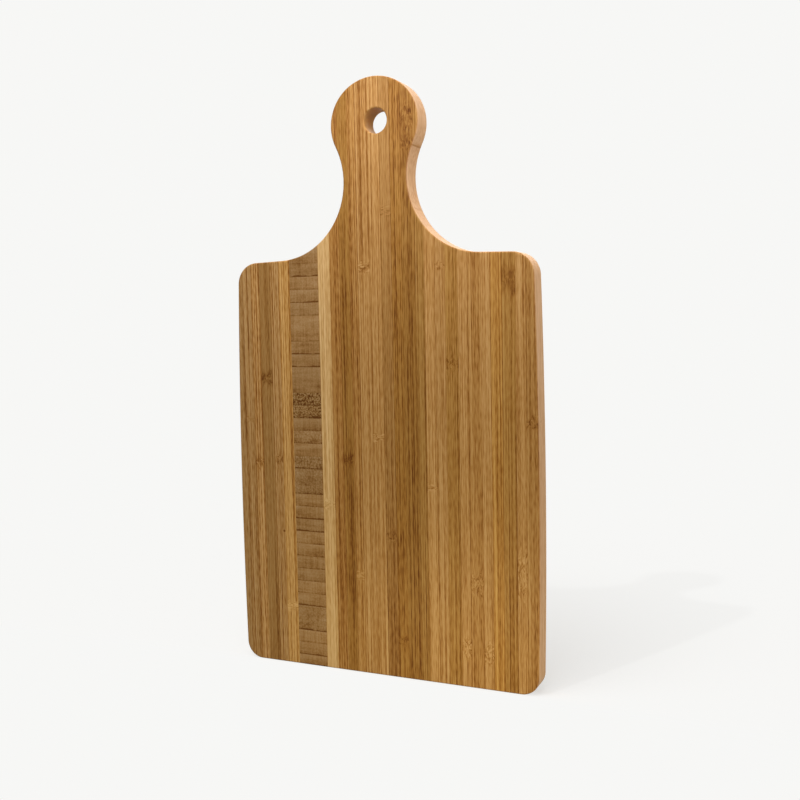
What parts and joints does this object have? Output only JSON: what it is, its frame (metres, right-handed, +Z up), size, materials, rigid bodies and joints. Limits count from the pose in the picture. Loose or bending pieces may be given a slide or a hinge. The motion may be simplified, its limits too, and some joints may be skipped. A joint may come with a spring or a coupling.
{
  "type": "bread board",
  "caption": "Paddle-shaped laminated bamboo bread board with an end-grain inlay column, a waisted handle and a round hanging hole.",
  "frame": {"origin": "centre of the bottom edge that the board stands on", "axes": "+Z up along the board to the handle's round end, +X across the face to the right as seen from the front, +Y through the thickness from the front face to the back face"},
  "size_m": [0.209, 0.015, 0.38],
  "materials": {
    "bamboo_umber": "planed bamboo, lightly oiled, satin",
    "bamboo_tan": "planed bamboo, lightly oiled, satin",
    "bamboo_wheat": "planed bamboo, lightly oiled, satin",
    "bamboo_honey": "planed bamboo, lightly oiled, satin",
    "bamboo_blond": "planed bamboo, lightly oiled, satin",
    "bamboo_end_grain": "end-grain bamboo, planed, more open and duller than the strips"
  },
  "bodies": {
    "root": {"left_edge_strip": "bamboo_tan", "left_strip_01": "bamboo_honey", "left_strip_02": "bamboo_tan", "left_strip_03": "bamboo_umber", "left_strip_04": "bamboo_tan", "left_strip_05": "bamboo_tan", "inlay_block_01": "bamboo_end_grain", "inlay_block_02": "bamboo_end_grain", "inlay_block_03": "bamboo_end_grain", "inlay_block_04": "bamboo_end_grain", "inlay_block_05": "bamboo_end_grain", "inlay_block_06": "bamboo_end_grain", "inlay_block_07": "bamboo_end_grain", "inlay_block_08": "bamboo_end_grain", "inlay_block_09": "bamboo_end_grain", "inlay_block_10": "bamboo_end_grain", "inlay_block_11": "bamboo_end_grain", "inlay_block_12": "bamboo_end_grain", "inlay_block_13": "bamboo_end_grain", "inlay_block_14": "bamboo_end_grain", "inlay_block_15": "bamboo_end_grain", "inlay_block_16": "bamboo_end_grain", "inlay_block_17": "bamboo_end_grain", "inlay_block_18": "bamboo_end_grain", "inlay_block_19": "bamboo_end_grain", "inlay_block_20": "bamboo_end_grain", "inlay_block_21": "bamboo_end_grain", "inlay_block_22": "bamboo_end_grain", "inlay_block_23": "bamboo_end_grain", "inlay_block_24": "bamboo_end_grain", "inlay_block_25": "bamboo_end_grain", "inlay_block_26": "bamboo_end_grain", "inlay_block_27": "bamboo_end_grain", "inlay_block_28": "bamboo_end_grain", "inlay_block_29": "bamboo_end_grain", "blond_strip": "bamboo_blond", "main_strip_01": "bamboo_umber", "main_strip_01_handle_end": "bamboo_umber", "main_strip_02": "bamboo_umber", "main_strip_03": "bamboo_tan", "main_strip_04": "bamboo_wheat", "main_strip_05": "bamboo_wheat", "main_strip_05_handle_end": "bamboo_wheat", "main_strip_06": "bamboo_umber", "main_strip_07": "bamboo_umber", "main_strip_08": "bamboo_umber", "main_strip_09": "bamboo_tan", "main_strip_09_handle_end": "bamboo_tan", "main_strip_10": "bamboo_wheat", "main_strip_11": "bamboo_wheat", "main_strip_12": "bamboo_tan", "main_strip_13": "bamboo_wheat", "main_strip_14": "bamboo_tan", "main_strip_15": "bamboo_wheat", "main_strip_16": "bamboo_wheat", "main_strip_17": "bamboo_tan", "main_strip_18": "bamboo_wheat", "right_edge_strip": "bamboo_tan"}
  },
  "joints": []
}
